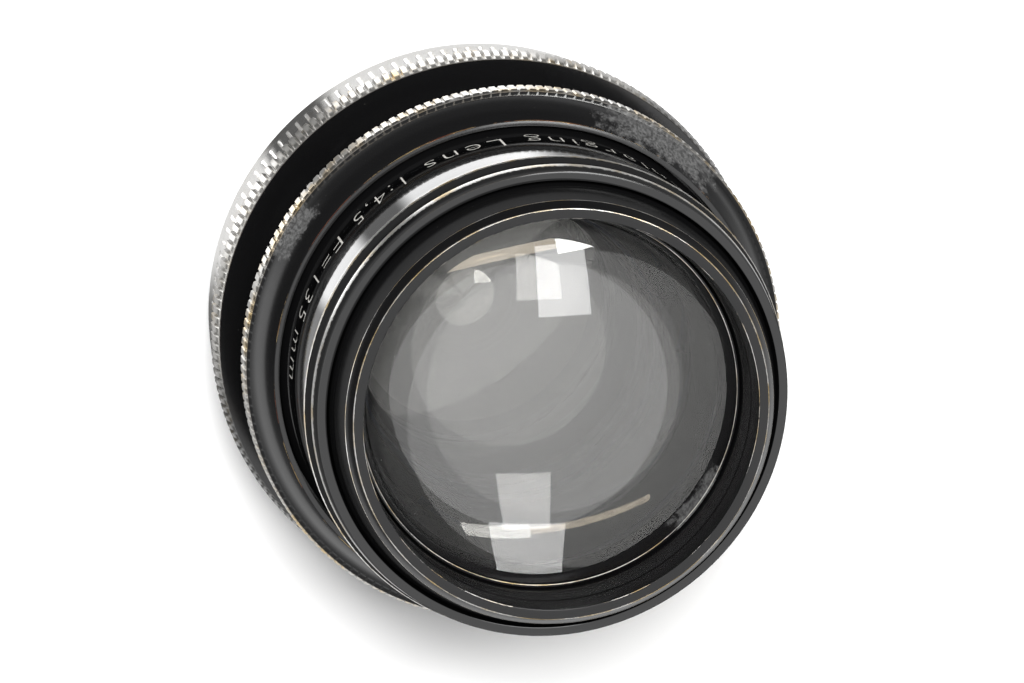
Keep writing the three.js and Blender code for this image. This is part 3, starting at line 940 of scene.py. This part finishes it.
class LENS_OT_stage(bpy.types.Operator):
    """Set the floor, the lights and the camera"""

    bl_idname = "lens.stage"
    bl_label = "Stage"

    def execute(self, context):
        look = context.scene.lens_stage
        scene = context.scene
        scene.view_settings.view_transform = "Standard"
        self.floor(look)
        self.world(scene, look)
        self.lights(look)
        self.camera(scene, look)
        return {"FINISHED"}

    def floor(self, look):
        bm = bmesh.new()
        bmesh.ops.create_grid(bm, x_segments=1, y_segments=1, size=1500)
        bmesh.ops.translate(bm, vec=(0, 0, -0.2), verts=bm.verts)
        mesh = new_mesh("floor", bm)
        mesh.materials.append(self.floor_material(look))
        place_object("floor", mesh)

    def floor_material(self, look):
        """White paper for the eye; in the lens's gloss it glows as a painted reflection, light in most
        places, with painted shade in a dark band beside the lens.
        """
        material = bpy.data.materials.new("white_floor")
        material.use_nodes = True
        n = Nodes(material.node_tree)
        paper = material.node_tree.nodes["Principled BSDF"]
        paper.inputs["Base Color"].default_value = (*look.floor_tone, 1)
        paper.inputs["Roughness"].default_value = 0.9
        paper.inputs["Specular IOR Level"].default_value = 0.0
        place = metres_to_mm(n, n.add("ShaderNodeTexCoord"))
        away = radius_of(n, place)
        turn = azimuth_of(n, place)
        # painted reflection: a strong glow in front of the engraving, standing in for a white board seen in
        # the gloss
        side = n.math("MULTIPLY", n.ramp(turn, -150.0, -136.0), n.ramp(turn, -48.0, -56.0))
        band = n.math("MULTIPLY", n.ramp(away, 31.0, 34.0), n.ramp(away, 50.0, 44.0))
        painted_card_glow = n.math("MULTIPLY", n.math("MULTIPLY", band, side), 3.4)
        # painted shade in the reflection: the dim ring outside that glow, and the dark edge close to the lens
        shade = n.math("MULTIPLY", n.ramp(away, 44.0, 50.0), n.ramp(away, 100.0, 66.0))
        painted_dark_hem = n.math("MULTIPLY", n.ramp(away, 32.5, 31.0), n.ramp(turn, -50.0, -35.0))
        reflection_glow_strength = n.math("SUBTRACT", n.math("ADD", painted_card_glow, 1.0), n.math("MULTIPLY", shade, 0.82))
        # painted reflection: the far floor glows more on the side away from the engraving
        bright = n.math("MULTIPLY", n.ramp(turn, -80.0, -45.0), n.ramp(turn, 178.0, 110.0))
        far_reflection_glow = n.blend(bright, 0.2, 2.2)
        reflection_glow_strength = n.blend(n.ramp(away, 90.0, 130.0), reflection_glow_strength, far_reflection_glow)
        reflection_glow_strength = n.math("MULTIPLY", reflection_glow_strength, n.blend(painted_dark_hem, 1.0, 0.2))
        # painted shade in the reflection: a narrow dark band, as if between two sheets
        painted_dark_gap = n.math("MULTIPLY", n.ramp(turn, -99.0, -91.0), n.ramp(turn, -72.0, -79.0))
        painted_dark_gap = n.math("MULTIPLY", painted_dark_gap, n.ramp(away, 90.0, 60.0))
        reflection_glow_strength = n.math("MULTIPLY", reflection_glow_strength, n.blend(painted_dark_gap, 1.0, 0.14))
        # painted shade in the reflection, on the floor under the lens
        reflection_glow_strength = n.math("MULTIPLY", reflection_glow_strength, n.blend(n.ramp(away, 25.5, 23.5), 1.0, 0.1))
        # painted reflection: the floor glows for glossy rays only, though it is no lamp
        painted_reflection_glow = n.add("ShaderNodeEmission")
        n.link(reflection_glow_strength, painted_reflection_glow.inputs["Strength"])
        path = n.add("ShaderNodeLightPath")
        choose = n.add("ShaderNodeMixShader")
        n.link(path.outputs["Is Glossy Ray"], choose.inputs[0])
        # for the eye, the paper turns to plain white far from the lens
        white = n.add("ShaderNodeEmission")
        fade = n.add("ShaderNodeMixShader")
        n.link(n.ramp(away, 60.0, 130.0), fade.inputs[0])
        n.link(paper.outputs[0], fade.inputs[1])
        n.link(white.outputs[0], fade.inputs[2])
        n.link(fade.outputs[0], choose.inputs[1])
        n.link(painted_reflection_glow.outputs[0], choose.inputs[2])
        n.link(choose.outputs[0], material.node_tree.nodes["Material Output"].inputs["Surface"])
        return material

    def world(self, scene, look):
        """White to the eye, soft daylight on the floor; in gloss a pale round ceiling over a dim horizon."""
        world = bpy.data.worlds.new("studio")
        world.use_nodes = True
        n = Nodes(world.node_tree)
        back = world.node_tree.nodes["Background"]
        back.inputs["Color"].default_value = (1, 1, 1, 1)
        path = n.add("ShaderNodeLightPath")
        coords = n.add("ShaderNodeTexCoord")
        sky = coords.outputs["Generated"]
        split = parts_of(n, sky)
        toward = n.add("ShaderNodeVectorMath", operation="DOT_PRODUCT")
        n.link(sky, toward.inputs[0])
        toward.inputs[1].default_value = (0.064, 0.252, 0.966)
        dome = n.blend(n.ramp(toward.outputs["Value"], 0.818, 0.82), 0.45, 1.8)
        horizon = n.blend(n.ramp(split[1], -0.6, 0.3), 0.1, 0.5)
        pale = n.blend(n.ramp(split[2], 0.3, 0.6), horizon, dome)
        strength = n.blend(path.outputs["Is Diffuse Ray"], pale, look.sky)
        n.link(n.blend(path.outputs["Is Camera Ray"], strength, 1.0), back.inputs["Strength"])
        scene.world = world

    def lights(self, look):
        aim = Vector((0, 0, 0.045))
        key = area_light("key", (-0.085, -0.318, 0.719), aim, (0.22, 0.22), look.key_power)
        key.visible_glossy = False
        key.visible_transmission = False
        self.strip("window", aim, (-0.25, -0.103, 0.512), (-0.14, 0.027, 0.512), 0.12, 0.45, (1, 1, 1))
        cream = Vector((0.038, -0.247, 0.485))
        white = Vector((-0.36, 0.001, 0.409))
        middle = cream.lerp(white, 0.62)
        self.strip("strip_cream", aim, cream, middle, 0.022, 0.12, (1, 0.86, 0.66))
        self.strip("strip_white", aim, middle, white, 0.045, 0.5, (1, 1, 0.97))

    def strip(self, name, aim, start, end, width, power, colour):
        """A long light from one place to another, turned towards the lens."""
        start, end = Vector(start), Vector(end)
        middle = (start + end) / 2
        along = (end - start).normalized()
        across = (middle - aim).cross(along).normalized()
        light = area_light(name, middle, aim, ((end - start).length, width), power, colour)
        turn = Matrix((along, across, along.cross(across))).transposed()
        light.rotation_quaternion = turn.to_quaternion()

    def camera(self, scene, look):
        tilt, roll, away = look.tilt, look.roll, look.camera_distance
        back = Vector((0, -math.sin(tilt), math.cos(tilt)))
        up0 = Vector((0, math.cos(tilt), math.sin(tilt)))
        right0 = Vector((1, 0, 0))
        right = math.cos(roll) * right0 + math.sin(roll) * up0
        up = -math.sin(roll) * right0 + math.cos(roll) * up0
        data = bpy.data.cameras.new("camera")
        camera = place_object("camera", data)
        turn = Matrix((right, up, back)).transposed().to_4x4()
        centre = Vector((0, 0, FRONT_FACE_Z * MM)) - right * look.slide + up * look.lift
        camera.matrix_world = Matrix.Translation(centre + back * away) @ turn
        data.sensor_width = 36
        data.lens = look.focal_length
        data.clip_start = 0.01
        data.clip_end = 10
        scene.camera = camera


OPERATORS = [
    LENS_OT_stage, LENS_OT_front_barrel, LENS_OT_front_cell, LENS_OT_glasses, LENS_OT_control_ring,
    LENS_OT_main_barrel, LENS_OT_flange, LENS_OT_lock_ring, LENS_OT_rear_cell, LENS_OT_screws, LENS_OT_iris,
    LENS_OT_engraving,
]


class LENS_PT_panel(bpy.types.Panel):
    """Lists the lens's builders in the sidebar"""

    bl_label = "Enlarging lens"
    bl_idname = "LENS_PT_panel"
    bl_space_type = "VIEW_3D"
    bl_region_type = "UI"
    bl_category = "Lens"

    def draw(self, context):
        for operator in OPERATORS:
            self.layout.operator(operator.bl_idname)


CLASSES = [LensSizes, StageLook, *OPERATORS, LENS_PT_panel]


def register():
    for cls in CLASSES:
        bpy.utils.register_class(cls)
    bpy.types.Scene.lens_sizes = bpy.props.PointerProperty(type=LensSizes)
    bpy.types.Scene.lens_stage = bpy.props.PointerProperty(type=StageLook)


def unregister():
    del bpy.types.Scene.lens_stage
    del bpy.types.Scene.lens_sizes
    for cls in reversed(CLASSES):
        bpy.utils.unregister_class(cls)


def main():
    register()
    for operator in OPERATORS:
        group, name = operator.bl_idname.split(".")
        getattr(getattr(bpy.ops, group), name)()


if __name__ == "__main__":
    main()
